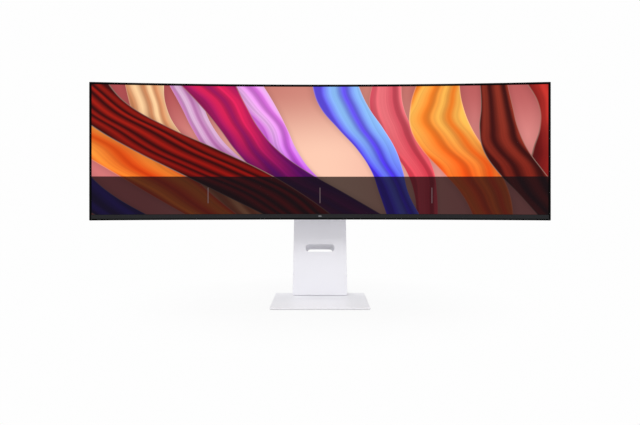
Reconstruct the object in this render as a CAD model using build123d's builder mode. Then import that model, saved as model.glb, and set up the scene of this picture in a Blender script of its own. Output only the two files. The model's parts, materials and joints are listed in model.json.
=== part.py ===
"""Curved ultrawide computer monitor on a stand with swivel, height and tilt.

Millimetres. +Z is up, the screen faces -Y, +X is to the right of a person in front of the screen. The origin
is on the desk under the middle of the base plate. The display is at the top of its height travel, upright and
facing straight ahead.
"""
import os
from math import sqrt

from build123d import *

os.makedirs("parts", exist_ok=True)

# ---------------------------------------------------------------- driving dimensions

# Display
screen_radius = 3800.0          # curve of the glass, seen from above
screen_y = -35.0                # middle of the glass
display_width = 1215.0
display_height = 365.0
display_depth = 126.0           # front corners to the back of the rear cover
display_bottom = 229.4
frame_border = 4.5              # black frame beside and above the glass
chin_height = 11.0              # grey strip under the glass
lip_height = 4.0                # black edge under the grey strip
frame_depth = 10.0              # frame and rear cover meet this far behind the glass
cover_wall = 2.5
gap = 0.2                       # between pieces that don't move on each other

# Stand
base_width = 260.0
base_depth = 250.0
base_thickness = 5.0
pad_height = 1.2                # rubber pads under the base plate
neck_front = 75.0
neck_depth = 40.0
neck_foot_width = 157.0
neck_top_width = 140.0
neck_top = 445.0
neck_wall = 2.5
mount_z = 400.0                 # wall-mount pattern and tilt axis
tilt_y = 58.0
height_travel = 110.0
swivel_limit = 15.0
vesa_pitch = 100.0
running_clearance = 0.05        # radial, shaft in bore

# Cable tunnel through the neck
tunnel_front_width = 83.0
tunnel_back_width = 74.0
tunnel_height = 22.6
tunnel_radius = 10.0
tunnel_front_z = 143.3          # middle of the front opening
tunnel_drop = 19.8              # the tunnel runs down towards the back

# ---------------------------------------------------------------- worked out from them

display_top = display_bottom + display_height
half_display = display_width / 2
glass_bottom = display_bottom + lip_height + chin_height
glass_top = display_top - frame_border
corner_sagitta = screen_radius - sqrt(screen_radius**2 - half_display**2)
display_back = screen_y - corner_sagitta + display_depth
base_top = pad_height + base_thickness
neck_bottom = base_top + 0.6
neck_back = neck_front + neck_depth
swivel_y = neck_front + neck_depth / 2
neck_inside_front = neck_front + neck_wall
neck_inside_back = neck_back - neck_wall
cover_joint_y = swivel_y        # front and rear neck covers meet here


def back_plane(y):
    """Upright plane at y, drawn as seen from the front. An extrusion from it comes forward, towards -Y."""
    return Plane.XZ.offset(-y)


def side_plane(x):
    """Upright plane at x: local x is Y and local y is Z. An extrusion from it goes towards +X."""
    return Plane.YZ.offset(x)


def arc_y(depth, x):
    """Y at distance x from the middle, on the curve that runs a given depth behind the glass."""
    return screen_y - screen_radius + sqrt((screen_radius + depth) ** 2 - x**2)


def curved_band(half_width, front, back, z):
    """Sketch at height z of a band that follows the glass, between two depths behind it."""
    with BuildSketch(Plane.XY.offset(z)) as band:
        with BuildLine():
            near = ThreePointArc(
                (-half_width, arc_y(front, half_width)),
                (0, arc_y(front, 0)),
                (half_width, arc_y(front, half_width)),
            )
            far = ThreePointArc(
                (-half_width, arc_y(back, half_width)),
                (0, arc_y(back, 0)),
                (half_width, arc_y(back, half_width)),
            )
            Line(near @ 0, far @ 0)
            Line(near @ 1, far @ 1)
        make_face()
    return band.sketch


# ================================================================ DISPLAY: frame and trim

with BuildPart() as front_frame:
    extrude(curved_band(half_display, -1.0, frame_depth, display_bottom), amount=display_height)
    fillet(front_frame.edges().filter_by(Axis.Y), radius=2.0)
    # Opening for the glass, pocket for the panel behind it, seat for the grey strip.
    extrude(
        curved_band(half_display - frame_border, -5.0, 3.5, glass_bottom),
        amount=glass_top - glass_bottom,
        mode=Mode.SUBTRACT,
    )
    extrude(
        curved_band(half_display - 2.2, 3.5, frame_depth + 5, display_bottom + 2.0),
        amount=display_height - 4.0,
        mode=Mode.SUBTRACT,
    )
    extrude(
        curved_band(half_display - frame_border, -5.0, 0.4, display_bottom + lip_height),
        amount=chin_height,
        mode=Mode.SUBTRACT,
    )
front_frame.part.label = "front_frame"
export_step(front_frame.part, "parts/front_frame.step")

badge_size = (9.0, 3.6)
badge_z = display_bottom + lip_height + chin_height / 2

with BuildPart() as chin_trim:
    extrude(
        curved_band(half_display - frame_border - gap, -0.7, 0.3, display_bottom + lip_height + gap),
        amount=chin_height - 2 * gap,
    )
    # Seat for the blank badge.
    with BuildSketch(back_plane(screen_y + 5)) as badge_seat:
        with Locations((0, badge_z)):
            SlotOverall(badge_size[0] + 0.2, badge_size[1] + 0.2)
    extrude(amount=10, mode=Mode.SUBTRACT)
chin_trim.part.label = "chin_trim"
export_step(chin_trim.part, "parts/chin_trim.step")

with BuildPart() as chin_badge:
    with BuildSketch(back_plane(screen_y + 0.3)):
        with Locations((0, badge_z)):
            SlotOverall(*badge_size)
    extrude(amount=1.2)
chin_badge.part.label = "chin_badge"
export_step(chin_badge.part, "parts/chin_badge.step")

# ================================================================ DISPLAY: panel stack

panel_half = half_display - frame_border - 0.3
panel_bottom = glass_bottom + 0.3
panel_top = glass_top - 0.3
guide_half = half_display - 18.0
guide_bottom = glass_bottom + 12.0
guide_top = glass_top - 12.0
led_height = 5.0


def stack_layer(half_width, front, back, bottom, top):
    """Curved sheet of the panel stack."""
    with BuildPart() as layer:
        extrude(curved_band(half_width, front, back, bottom), amount=top - bottom)
    return layer


lcd_panel = stack_layer(panel_half, 0.0, 1.6, panel_bottom, panel_top)
lcd_panel.part.label = "lcd_panel"
export_step(lcd_panel.part, "parts/lcd_panel.step")

optical_sheets = stack_layer(guide_half, 1.8, 2.6, guide_bottom, guide_top)
optical_sheets.part.label = "optical_sheets"
export_step(optical_sheets.part, "parts/optical_sheets.step")

light_guide = stack_layer(guide_half, 2.7, 5.7, guide_bottom, guide_top)
light_guide.part.label = "light_guide"
export_step(light_guide.part, "parts/light_guide.step")

reflector_sheet = stack_layer(guide_half, 5.8, 6.2, guide_bottom, guide_top)
reflector_sheet.part.label = "reflector_sheet"
export_step(reflector_sheet.part, "parts/reflector_sheet.step")

led_strip = stack_layer(guide_half, 2.7, 5.7, guide_bottom - gap - led_height, guide_bottom - gap)
led_strip.part.label = "led_strip"
export_step(led_strip.part, "parts/led_strip.step")

with BuildPart() as panel_frame:
    extrude(
        curved_band(half_display - 2.4, 3.7, 8.5, display_bottom + 2.3),
        amount=display_height - 4.6,
    )
    # Raised rim that the glass rests on.
    extrude(
        curved_band(panel_half - gap, 1.7, 3.8, panel_bottom + gap),
        amount=panel_top - panel_bottom - 2 * gap,
    )
    extrude(
        curved_band(guide_half + 0.3, -5.0, 15.0, guide_bottom - led_height - 2 * gap),
        amount=guide_top - guide_bottom + led_height + 3 * gap,
        mode=Mode.SUBTRACT,
    )
panel_frame.part.label = "panel_frame"
export_step(panel_frame.part, "parts/panel_frame.step")

chassis_back = frame_depth - 0.1
with BuildPart() as panel_chassis:
    extrude(
        curved_band(half_display - 2.5, 8.7, chassis_back, display_bottom + 2.4),
        amount=display_height - 4.8,
    )
    # Shallow stiffening ribs on the back.
    for rib_z in (display_bottom + 60, display_top - 60):
        extrude(curved_band(half_display - 40, chassis_back - 0.1, 14.0, rib_z), amount=6.0)
panel_chassis.part.label = "panel_chassis"
export_step(panel_chassis.part, "parts/panel_chassis.step")

driver_board_z = display_bottom + 8.0
with BuildPart() as panel_driver_boards:
    extrude(curved_band(420.0, 10.4, 11.6, driver_board_z), amount=18.0)
    extrude(curved_band(40.0, 5.0, 20.0, driver_board_z - 1), amount=20.0, mode=Mode.SUBTRACT)
    # Source driver chips.
    for chip_x in (-360, -280, -200, -120, 120, 200, 280, 360):
        with BuildSketch(back_plane(arc_y(14.2, abs(chip_x)))):
            with Locations((chip_x, driver_board_z + 9)):
                Rectangle(16, 6)
        extrude(amount=2.8)
panel_driver_boards.part.label = "panel_driver_boards"
export_step(panel_driver_boards.part, "parts/panel_driver_boards.step")

# ================================================================ DISPLAY: rear cover

cover_half = half_display - 0.6
cover_bottom = display_bottom + 0.6
cover_top = display_top - 0.6
cover_front = frame_depth + 0.1
cover_edge = 21.0               # thickness behind the glass along the thin edges
plateau_half = 260.0            # the back is flat this far to each side
plateau_bottom = mount_z - 100
plateau_top = mount_z + 100


def crown_y(x):
    """Y of the back of the cover at mid height: flat in the middle, then falling to the thin ends."""
    thin = arc_y(cover_edge, x) + 0.5
    way = max(0.0, (abs(x) - plateau_half) / (cover_half - plateau_half))
    blend = way * way * (3 - 2 * way)
    return display_back + blend * (thin - display_back)


def cover_section(x, inset, edge, corner):
    """Upright section of the rear cover at x. Inset draws the inside of the wall."""
    front = arc_y(cover_front, abs(x)) - (3 if inset else 0)
    thin = arc_y(edge, abs(x)) - inset
    crown = max(crown_y(abs(x)) - inset, thin + 0.2)
    low = cover_bottom + inset
    high = cover_top - inset
    with BuildSketch(side_plane(x)) as section:
        with BuildLine():
            Line((front, high), (front, low))
            Line((front, low), (thin - corner, low))
            RadiusArc((thin - corner, low), (thin, low + corner), -corner)
            Spline((thin, low + corner), (crown, plateau_bottom), tangents=((0, 1), (0, 1)))
            Line((crown, plateau_bottom), (crown, plateau_top))
            Spline((crown, plateau_top), (thin, high - corner), tangents=((0, 1), (0, 1)))
            RadiusArc((thin, high - corner), (thin - corner, high), -corner)
            Line((thin - corner, high), (front, high))
        make_face()
    return section.sketch


def cover_loft_sections(inset):
    """Sections from end to end. The outer two on each side round the ends off."""
    stations = [
        (cover_half - inset, 15.0, 3.0),
        (cover_half - 4 - inset, 19.5, 5.0),
        (cover_half - 12 - inset, cover_edge, 6.0),
        (500.0, cover_edge, 6.0),
        (400.0, cover_edge, 6.0),
        (320.0, cover_edge, 6.0),
        (plateau_half, cover_edge, 6.0),
        (140.0, cover_edge, 6.0),
    ]
    right = [cover_section(x, inset, edge, corner) for x, edge, corner in reversed(stations)]
    left = [cover_section(-x, inset, edge, corner) for x, edge, corner in stations]
    return left + [cover_section(0.0, inset, cover_edge, 6.0)] + right


mount_recess = (128.0, 148.0, 392.0)      # width, height, middle
port_bay = (172.0, 34.0)
port_bay_x = 170.0
mains_bay = (60.0, 34.0)
mains_bay_x = -125.0
bay_z = 335.0
bay_floor = 32.2
mount_floor = 33.7
screw_spots = [(x, z) for x in (-235, 235) for z in (plateau_bottom + 85, plateau_top - 15)]

joystick_y = -9.0
joystick_pivot_z = 250.0
pod_half = 20.0
pod_front = arc_y(cover_front, 0)
pod_back = 6.0
pod_top = 262.0
pod_wall = 2.0

with BuildPart() as rear_cover:
    loft(cover_loft_sections(0.0))
    loft(cover_loft_sections(cover_wall), mode=Mode.SUBTRACT)
    # Skirts around the recesses, then the recesses.
    with BuildSketch(back_plane(display_back - 1)):
        with Locations((0, mount_recess[2])):
            RectangleRounded(mount_recess[0] + 5, mount_recess[1] + 5, 10)
    extrude(amount=display_back - 1 - mount_floor)
    with BuildSketch(back_plane(display_back - 1)):
        with Locations((port_bay_x, bay_z)):
            RectangleRounded(port_bay[0] + 5, port_bay[1] + 5, 6)
        with Locations((mains_bay_x, bay_z)):
            RectangleRounded(mains_bay[0] + 5, mains_bay[1] + 5, 6)
    extrude(amount=display_back - 1 - bay_floor)
    with BuildSketch(back_plane(display_back + 10)):
        with Locations((0, mount_recess[2])):
            RectangleRounded(mount_recess[0], mount_recess[1], 8)
        with Locations((port_bay_x, bay_z)):
            RectangleRounded(port_bay[0], port_bay[1], 4)
        with Locations((mains_bay_x, bay_z)):
            RectangleRounded(mains_bay[0], mains_bay[1], 4)
    extrude(amount=30, mode=Mode.SUBTRACT)
    # Joystick pod under the middle, with a bowl for a fingertip.
    with BuildSketch(Plane.XY.offset(cover_bottom)):
        with Locations((0, (pod_front + pod_back) / 2)):
            Rectangle(2 * pod_half, pod_back - pod_front)
    extrude(amount=pod_top - cover_bottom)
    with BuildSketch(Plane.XY.offset(cover_bottom + cover_wall)):
        with Locations((0, (pod_front + pod_back - pod_wall) / 2)):
            Rectangle(2 * (pod_half - pod_wall), pod_back - pod_wall - pod_front + 0.02)
    extrude(amount=pod_top - cover_bottom, mode=Mode.SUBTRACT)
    with BuildSketch(Plane.XY.offset(cover_bottom)):
        with Locations((0, joystick_y)):
            Circle(13.5)
    extrude(amount=10.0)
    with Locations((0, joystick_y, cover_bottom + 4)):
        Cone(bottom_radius=11.5, top_radius=9.4, height=8, mode=Mode.SUBTRACT)
    with Locations((0, joystick_y, cover_bottom + 5)):
        Cylinder(radius=4.5, height=12, mode=Mode.SUBTRACT)
    # Vent slots along the top, sound slots along the bottom corners.
    with BuildSketch(back_plane(display_back + 10)):
        for row_z in (528.0, 558.0):
            with Locations((0, row_z)):
                with GridLocations(9.0, 0, 53, 1):
                    SlotOverall(22.0, 3.0, rotation=90)
        for side_x in (-345.0, 345.0):
            with Locations((side_x, 305.0)):
                with GridLocations(6.0, 9.0, 14, 3):
                    SlotOverall(6.0, 2.4, rotation=90)
    extrude(amount=90, mode=Mode.SUBTRACT)
    # Screw holes through bosses.
    with BuildSketch(back_plane(display_back - 1)):
        with Locations(*screw_spots):
            Circle(5.5)
    extrude(amount=12)
    with BuildSketch(back_plane(display_back + 1)):
        with Locations(*screw_spots):
            Circle(3.4)
    extrude(amount=8, mode=Mode.SUBTRACT)
    with BuildSketch(back_plane(display_back + 1)):
        with Locations(*screw_spots):
            Circle(1.7)
    extrude(amount=20, mode=Mode.SUBTRACT)
rear_cover.part.label = "rear_cover"
export_step(rear_cover.part, "parts/rear_cover.step")

# ================================================================ DISPLAY: bracket, tray and boards

bracket_back = mount_floor - gap
bracket_thickness = 2.5
bracket_middle = (0, mount_recess[2])
tray_front = -18.0
tray_back = -16.8
leg_pitch = (144.0, 152.0)
vesa_hole_radius = 1.65         # tapped M4
vesa_grid = (vesa_pitch, vesa_pitch, 2, 2)
boss_radius = 5.0
leg_hole_radius = 1.6           # tapped M4 in the legs
hook_x = 25.0                   # middle of each hook of the stand head
hook_slot = (14.0, 15.2)
hook_slot_top = 446.2
hook_slot_z = hook_slot_top - hook_slot[1] / 2
latch_slot = (15.0, 10.5)
latch_slot_z = 352.75

with BuildPart() as vesa_bracket:
    with BuildSketch(back_plane(bracket_back)):
        with Locations(bracket_middle):
            RectangleRounded(160, 170, 6)
    extrude(amount=bracket_thickness)
    with BuildSketch(back_plane(bracket_back)):
        with Locations((0, mount_z)):
            with GridLocations(*vesa_grid):
                Circle(boss_radius)
    extrude(amount=14)
    with BuildSketch(back_plane(bracket_back)):
        with Locations(bracket_middle):
            with GridLocations(*leg_pitch, 2, 2):
                Circle(boss_radius)
    extrude(amount=bracket_back - tray_back - gap)
    with BuildSketch(back_plane(bracket_back)):
        with Locations((0, mount_z)):
            with GridLocations(*vesa_grid):
                Circle(vesa_hole_radius)
    extrude(amount=12, mode=Mode.SUBTRACT)
    with BuildSketch(back_plane(bracket_back)):
        with Locations((-hook_x, hook_slot_z), (hook_x, hook_slot_z)):
            Rectangle(*hook_slot)
        with Locations((0, latch_slot_z)):
            Rectangle(*latch_slot)
    extrude(amount=bracket_thickness, mode=Mode.SUBTRACT)
    # Tapped ends of the legs.
    with BuildSketch(back_plane(tray_back + 12)):
        with Locations(bracket_middle):
            with GridLocations(*leg_pitch, 2, 2):
                Circle(leg_hole_radius)
    extrude(amount=12, mode=Mode.SUBTRACT)
vesa_bracket.part.label = "vesa_bracket"
export_step(vesa_bracket.part, "parts/vesa_bracket.step")

tray_half = 272.0
tray_bottom = 300.0
tray_top = 486.0
tray_z = (tray_bottom + tray_top) / 2
board_size = (180.0, 132.0)
board_x = 174.0
board_z = 374.0
board_thickness = 1.6
standoff_pitch = (168.0, 120.0)
standoff_radius = 3.0
main_board_front = 8.0
power_board_front = -8.0

with BuildPart() as board_tray:
    with BuildSketch(back_plane(tray_back)):
        with Locations((0, tray_z)):
            RectangleRounded(2 * tray_half, tray_top - tray_bottom, 4)
    extrude(amount=tray_back - tray_front)
    # Side flanges towards the panel.
    with BuildSketch(back_plane(tray_back)):
        with Locations((-tray_half + 2, tray_z), (tray_half - 2, tray_z)):
            Rectangle(1.2, tray_top - tray_bottom - 10)
    extrude(amount=16)
    # Standoffs for the two boards.
    with BuildSketch(back_plane(main_board_front - gap / 2)):
        with Locations((board_x, board_z)):
            with GridLocations(*standoff_pitch, 2, 2):
                Circle(standoff_radius)
    extrude(amount=main_board_front - gap / 2 - tray_back)
    with BuildSketch(back_plane(power_board_front - gap / 2)):
        with Locations((-board_x, board_z)):
            with GridLocations(*standoff_pitch, 2, 2):
                Circle(standoff_radius)
    extrude(amount=power_board_front - gap / 2 - tray_back)
    with BuildSketch(back_plane(tray_back)):
        with Locations(bracket_middle):
            with GridLocations(*leg_pitch, 2, 2):
                Circle(1.7)
    extrude(amount=tray_back - tray_front, mode=Mode.SUBTRACT)
    # Cooling holes between the boards.
    with BuildSketch(back_plane(tray_back)):
        with Locations((0, tray_z + 2)):
            with GridLocations(16, 16, 6, 6):
                Circle(4)
    extrude(amount=tray_back - tray_front, mode=Mode.SUBTRACT)
board_tray.part.label = "board_tray"
export_step(board_tray.part, "parts/board_tray.step")

main_board_back = main_board_front + board_thickness
processor = (board_x - 20, board_z + 20)
memory_chips = [(board_x + 30, board_z + 30), (board_x + 30, board_z + 10), (board_x - 65, board_z + 20)]

with BuildPart() as main_board:
    with BuildSketch(back_plane(main_board_back)):
        with Locations((board_x, board_z)):
            RectangleRounded(*board_size, 3)
    extrude(amount=board_thickness)
    # Display processor under a finned heat sink.
    with BuildSketch(back_plane(main_board_back + 3)):
        with Locations(processor):
            Rectangle(44, 44)
    extrude(amount=3)
    with BuildSketch(back_plane(main_board_back + 14)):
        with Locations(processor):
            with GridLocations(0, 4.0, 1, 11):
                Rectangle(44, 1.4)
    extrude(amount=11.5)
    # Memory chips and a row of capacitors.
    with BuildSketch(back_plane(main_board_back + 1.4)):
        with Locations(*memory_chips):
            Rectangle(14, 10)
    extrude(amount=1.4)
    with BuildSketch(back_plane(main_board_back + 9)):
        with Locations((board_x + 66, board_z + 10)):
            with GridLocations(0, 13, 1, 4):
                Circle(4)
    extrude(amount=9)
main_board.part.label = "main_board"
export_step(main_board.part, "parts/main_board.step")

power_board_back = power_board_front + board_thickness
with BuildPart() as power_board:
    with BuildSketch(back_plane(power_board_back)):
        with Locations((-board_x, board_z)):
            RectangleRounded(*board_size, 3)
    extrude(amount=board_thickness)
    # Transformer, storage capacitors, heat sink and choke.
    with BuildSketch(back_plane(power_board_back + 26)):
        with Locations((-board_x, board_z + 26)):
            RectangleRounded(44, 40, 3)
        with Locations((-board_x - 52, board_z + 36), (-board_x - 52, board_z + 14)):
            Circle(9)
        with Locations((-board_x + 44, board_z + 30)):
            Rectangle(8, 50)
        with Locations((-board_x - 50, board_z - 30)):
            Circle(13)
    extrude(amount=26)
power_board.part.label = "power_board"
export_step(power_board.part, "parts/power_board.step")

bay_plate_margin = 4.0
bay_plate_back = bay_floor - gap
socket_face = bay_plate_back
# Sockets from left to right: middle, width, height, corner radius.
network_socket = (102.0, 16.0, 13.0, 0.6)
usb_a_sockets = [(123.0, 13.6, 6.0, 0.6), (143.0, 13.6, 6.0, 0.6)]
usb_c_socket = (161.0, 9.2, 3.4, 1.6)
video_sockets = [(181.0, 16.6, 6.2, 0.8), (205.0, 15.2, 5.8, 1.2), (228.0, 15.2, 5.8, 1.2)]
audio_socket = (247.0, 7.6, 7.6, 3.7)
all_sockets = [network_socket, *usb_a_sockets, usb_c_socket, *video_sockets, audio_socket]
socket_wall = 0.6
socket_depth = 14.0


def sockets(places, tongue):
    """Sockets that stand on the main board and open to the back, with an optional contact tongue."""
    with BuildPart() as group:
        for middle, width, height, corner in places:
            with BuildSketch(back_plane(socket_face)):
                with Locations((middle, bay_z)):
                    RectangleRounded(width, height, corner)
            extrude(amount=socket_face - main_board_back - gap / 2)
            with BuildSketch(back_plane(socket_face)):
                with Locations((middle, bay_z)):
                    RectangleRounded(
                        width - 2 * socket_wall,
                        height - 2 * socket_wall,
                        max(corner - socket_wall, 0.2),
                    )
            extrude(amount=socket_depth, mode=Mode.SUBTRACT)
            if tongue:
                with BuildSketch(back_plane(socket_face - 2)):
                    with Locations((middle, bay_z)):
                        Rectangle(width * 0.62, height * 0.22)
                extrude(amount=socket_depth - 1)
    return group


network_port = sockets([network_socket], tongue=False)
network_port.part.label = "network_port"
export_step(network_port.part, "parts/network_port.step")

usb_ports = sockets([*usb_a_sockets, usb_c_socket], tongue=True)
usb_ports.part.label = "usb_ports"
export_step(usb_ports.part, "parts/usb_ports.step")

video_ports = sockets(video_sockets, tongue=True)
video_ports.part.label = "video_ports"
export_step(video_ports.part, "parts/video_ports.step")

audio_jack = sockets([audio_socket], tongue=False)
audio_jack.part.label = "audio_jack"
export_step(audio_jack.part, "parts/audio_jack.step")

inlet_size = (27.6, 20.0, 3.0)  # width, height, corner radius

with BuildPart() as io_bezel:
    with BuildSketch(back_plane(bay_plate_back)):
        with Locations((port_bay_x, bay_z)):
            RectangleRounded(port_bay[0] + bay_plate_margin, port_bay[1] + bay_plate_margin, 5)
        with Locations((mains_bay_x, bay_z)):
            RectangleRounded(mains_bay[0] + bay_plate_margin, mains_bay[1] + bay_plate_margin, 5)
    extrude(amount=1.8)
    with BuildSketch(back_plane(bay_plate_back + 1)):
        for middle, width, height, corner in all_sockets:
            with Locations((middle, bay_z)):
                RectangleRounded(width + 0.4, height + 0.4, corner + 0.1)
        with Locations((mains_bay_x, bay_z)):
            RectangleRounded(inlet_size[0] + 0.4, inlet_size[1] + 0.4, inlet_size[2])
    extrude(amount=6, mode=Mode.SUBTRACT)
io_bezel.part.label = "io_bezel"
export_step(io_bezel.part, "parts/io_bezel.step")

with BuildPart() as mains_inlet:
    with BuildSketch(back_plane(socket_face)):
        with Locations((mains_bay_x, bay_z)):
            RectangleRounded(*inlet_size)
    extrude(amount=socket_face - power_board_back - gap / 2)
    with BuildSketch(back_plane(socket_face)):
        with Locations((mains_bay_x, bay_z)):
            RectangleRounded(inlet_size[0] - 3, inlet_size[1] - 3, 2)
    extrude(amount=18, mode=Mode.SUBTRACT)
    with BuildSketch(back_plane(socket_face - 4)):
        with Locations((mains_bay_x - 7, bay_z - 2), (mains_bay_x, bay_z + 2), (mains_bay_x + 7, bay_z - 2)):
            Rectangle(2, 4)
    extrude(amount=15)
mains_inlet.part.label = "mains_inlet"
export_step(mains_inlet.part, "parts/mains_inlet.step")

# Path of the flat cables from the driver boards to the main board: Y and Z.
cable_path = [(-23.4, 248), (-21.5, 284), (-10, 296), (5, 298), (11.6, 306), (10.2, 316)]
with BuildPart() as panel_cables:
    for cable_x in (150.0, 205.0):
        with BuildSketch(side_plane(cable_x)):
            with BuildLine():
                FilletPolyline(*cable_path, radius=3)
            trace(line_width=0.5)
        extrude(amount=24)
panel_cables.part.label = "panel_cables"
export_step(panel_cables.part, "parts/panel_cables.step")

speaker_x = 345.0
speaker_z = 318.0
speaker_spots = [(-speaker_x, speaker_z), (speaker_x, speaker_z)]

with BuildPart() as speaker_boxes:
    with BuildSketch(back_plane(4)):
        with Locations(*speaker_spots):
            RectangleRounded(90, 38, 4)
    extrude(amount=30)
    with BuildSketch(back_plane(1.5)):
        with Locations(*speaker_spots):
            RectangleRounded(85, 33, 3)
    extrude(amount=25, mode=Mode.SUBTRACT)
    with BuildSketch(back_plane(5)):
        with Locations(*speaker_spots):
            Circle(14.5)
    extrude(amount=6, mode=Mode.SUBTRACT)
speaker_boxes.part.label = "speaker_boxes"
export_step(speaker_boxes.part, "parts/speaker_boxes.step")

with BuildPart() as speaker_cones:
    with BuildSketch(back_plane(6)):
        with Locations(*speaker_spots):
            Circle(16)
    extrude(amount=1.8)
    with BuildSketch(back_plane(5)):
        with Locations(*speaker_spots):
            Circle(14)
    extrude(amount=14, taper=25)
    with BuildSketch(back_plane(6.5)):
        with Locations(*speaker_spots):
            Circle(12)
    extrude(amount=8, taper=25, mode=Mode.SUBTRACT)
speaker_cones.part.label = "speaker_cones"
export_step(speaker_cones.part, "parts/speaker_cones.step")

with BuildPart() as rear_cover_screws:
    with BuildSketch(back_plane(display_back - 4.4)):
        with Locations(*screw_spots):
            Circle(3.1)
    extrude(amount=2.4)
    with BuildSketch(back_plane(display_back - 4.4)):
        with Locations(*screw_spots):
            RegularPolygon(1.5, 6)
    extrude(amount=1.2, mode=Mode.SUBTRACT)
    with BuildSketch(back_plane(display_back - 6.7)):
        with Locations(*screw_spots):
            Circle(1.5)
    extrude(amount=12)
rear_cover_screws.part.label = "rear_cover_screws"
export_step(rear_cover_screws.part, "parts/rear_cover_screws.step")

# ================================================================ DISPLAY: joystick

joystick_axis = (0, joystick_y)
joystick_pivot = (joystick_y, joystick_pivot_z)
housing_size = 25.0
housing_bottom = 243.0
housing_top = 262.3
pin_radius = 1.0
stem_radius = 1.65
gimbal_outer = 8.4
gimbal_inner = 6.4
pin_reach = 12.0                # from the pivot to the end of a gimbal pin
pin_length = pin_reach - gimbal_inner - 0.5
dome_bottom = 259.4             # switch dome over the stem
cap_bottom = display_bottom - 0.5
cap_top = 234.5
cap_radius = 6.0

with BuildPart() as joystick_housing:
    with BuildSketch(Plane.XY.offset(housing_bottom)):
        with Locations(joystick_axis):
            RectangleRounded(housing_size, housing_size, 2)
    extrude(amount=housing_top - housing_bottom)
    with BuildSketch(Plane.XY.offset(housing_bottom)):
        with Locations(joystick_axis):
            Circle(10)
    extrude(amount=17, mode=Mode.SUBTRACT)
    with BuildSketch(Plane.XY.offset(housing_bottom)):
        with Locations(joystick_axis):
            Circle(5)
    extrude(amount=housing_top - housing_bottom, mode=Mode.SUBTRACT)
    with BuildSketch(back_plane(joystick_y + housing_size)):
        with Locations((0, joystick_pivot_z)):
            Circle(pin_radius + running_clearance)
    extrude(amount=2 * housing_size, mode=Mode.SUBTRACT)
joystick_housing.part.label = "joystick_housing"
export_step(joystick_housing.part, "parts/joystick_housing.step")

with BuildPart() as joystick_board:
    with BuildSketch(Plane.XY.offset(housing_top + gap)):
        with Locations(joystick_axis):
            Rectangle(28, housing_size - 0.4)
    extrude(amount=1.2)
    with BuildSketch(Plane.XY.offset(dome_bottom)):
        with Locations(joystick_axis):
            Circle(3)
    extrude(amount=housing_top + gap - dome_bottom)
joystick_board.part.label = "joystick_board"
export_step(joystick_board.part, "parts/joystick_board.step")

with BuildPart() as joystick_gimbal:
    with BuildSketch(Plane.XY.offset(joystick_pivot_z - 2)):
        with Locations(joystick_axis):
            Circle(gimbal_outer)
            Circle(gimbal_inner, mode=Mode.SUBTRACT)
    extrude(amount=4)
    for pin_y in (joystick_y + pin_reach, joystick_y - gimbal_inner - 0.5):
        with BuildSketch(back_plane(pin_y)):
            with Locations((0, joystick_pivot_z)):
                Circle(pin_radius)
        extrude(amount=pin_length)
    with BuildSketch(side_plane(-pin_reach)):
        with Locations(joystick_pivot):
            Circle(pin_radius + running_clearance)
    extrude(amount=2 * pin_reach, mode=Mode.SUBTRACT)
joystick_gimbal.part.label = "joystick_gimbal"
export_step(joystick_gimbal.part, "parts/joystick_gimbal.step")

with BuildPart() as joystick_rocker:
    with BuildSketch(Plane.XY.offset(joystick_pivot_z - 2.5)):
        with Locations(joystick_axis):
            Circle(5)
    extrude(amount=5)
    with BuildSketch(side_plane(-8)):
        with Locations(joystick_pivot):
            Circle(pin_radius)
    extrude(amount=16)
    with BuildSketch(Plane.XY.offset(joystick_pivot_z - 5)):
        with Locations(joystick_axis):
            Circle(stem_radius + running_clearance)
    extrude(amount=10, mode=Mode.SUBTRACT)
joystick_rocker.part.label = "joystick_rocker"
export_step(joystick_rocker.part, "parts/joystick_rocker.step")

with BuildPart() as joystick_stem:
    with BuildSketch(Plane.XY.offset(231.8)):
        with Locations(joystick_axis):
            Circle(stem_radius)
    extrude(amount=26.6)
joystick_stem.part.label = "joystick_stem"
export_step(joystick_stem.part, "parts/joystick_stem.step")

with BuildPart() as joystick_cap:
    with BuildSketch(Plane.XY.offset(cap_bottom)):
        with Locations(joystick_axis):
            Circle(cap_radius)
    extrude(amount=cap_top - cap_bottom)
    fillet(joystick_cap.edges().group_by(Axis.Z)[0], radius=1.5)
    with BuildSketch(Plane.XY.offset(cap_top)):
        with Locations(joystick_axis):
            Circle(stem_radius + running_clearance)
    extrude(amount=-3, mode=Mode.SUBTRACT)
joystick_cap.part.label = "joystick_cap"
export_step(joystick_cap.part, "parts/joystick_cap.step")

# ================================================================ STAND HEAD

head_half = 43.0
head_bottom = 342.0
head_top = 458.0
head_plate_front = bracket_back + 0.1
head_plate_thickness = 3.0
head_plate_back = head_plate_front + head_plate_thickness
hook_front = 28.2               # upright part of each hook, inside the bracket
hook_back = 30.8
tilt_screw_grid = (24.0, 32.0, 2, 2)
tilt_axis = (tilt_y, mount_z)   # on side planes
knuckle_radius = 12.0
arm_half = 18.0
shaft_radius = 5.0
ear_inner = 20.2
ear_outer = 24.2

with BuildPart() as head_plate:
    with BuildSketch(back_plane(head_plate_back)):
        with Locations((0, mount_z)):
            RectangleRounded(2 * head_half, head_top - head_bottom, 5)
        with Locations((0, 351.5)):
            Rectangle(14, 13, mode=Mode.SUBTRACT)
        with Locations((0, mount_z)):
            with GridLocations(*tilt_screw_grid):
                Circle(1.7, mode=Mode.SUBTRACT)
    extrude(amount=head_plate_thickness)
    # Hooks that pass through the bracket and stand up behind it.
    with BuildSketch(back_plane(head_plate_front)):
        with Locations((-hook_x, 443), (hook_x, 443)):
            Rectangle(12, 6)
    extrude(amount=head_plate_front - hook_front)
    with BuildSketch(back_plane(hook_back)):
        with Locations((-hook_x, 447), (hook_x, 447)):
            Rectangle(12, 14)
    extrude(amount=hook_back - hook_front)
head_plate.part.label = "head_plate"
export_step(head_plate.part, "parts/head_plate.step")

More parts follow.
